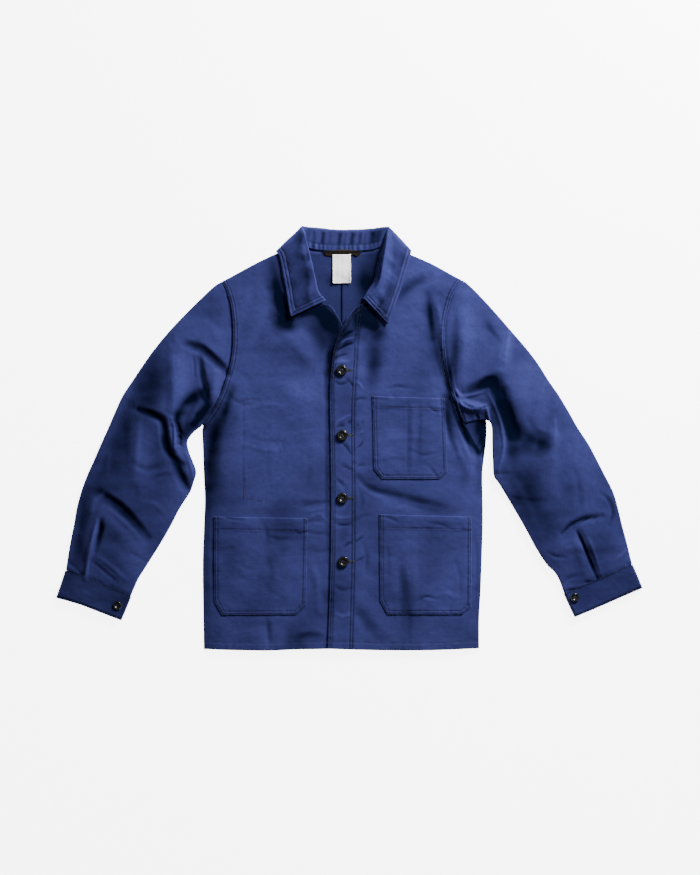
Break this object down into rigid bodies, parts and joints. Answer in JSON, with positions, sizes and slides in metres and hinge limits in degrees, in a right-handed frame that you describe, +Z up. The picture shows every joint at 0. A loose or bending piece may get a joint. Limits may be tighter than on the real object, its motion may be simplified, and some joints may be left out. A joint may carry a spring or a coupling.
{
  "type": "chore jacket laid flat",
  "caption": "Blue cotton chore jacket laid flat, face up: point collar, buttoned front, long sleeves with cuffs, chest and hip patch pockets.",
  "frame": {"origin": "middle of the jacket's outline box, on the surface that it lies on", "axes": "+X across, towards the wearer's left sleeve; +Y up to the collar; +Z up, away from the surface"},
  "size_m": [1.084, 0.7833, 0.0118],
  "materials": {
    "moleskin": "soft brushed cotton moleskin with a low sheen",
    "button": "polished black with a dull rim",
    "neck_tape": "woven dark brown tape",
    "care_tape": "white woven tape"
  },
  "bodies": {
    "root": {"front_left": "moleskin", "front_right": "moleskin", "back_left": "moleskin", "back_right": "moleskin", "sleeve_left": "moleskin", "sleeve_right": "moleskin", "cuff_left": "moleskin", "cuff_right": "moleskin", "collar": "moleskin", "pocket_chest": "moleskin", "pocket_left": "moleskin", "pocket_right": "moleskin", "button_front_1": "button", "button_front_2": "button", "button_front_3": "button", "button_front_4": "button", "button_cuff_left": "button", "button_cuff_right": "button", "neck_label": "neck_tape", "care_label": "care_tape"}
  },
  "joints": []
}
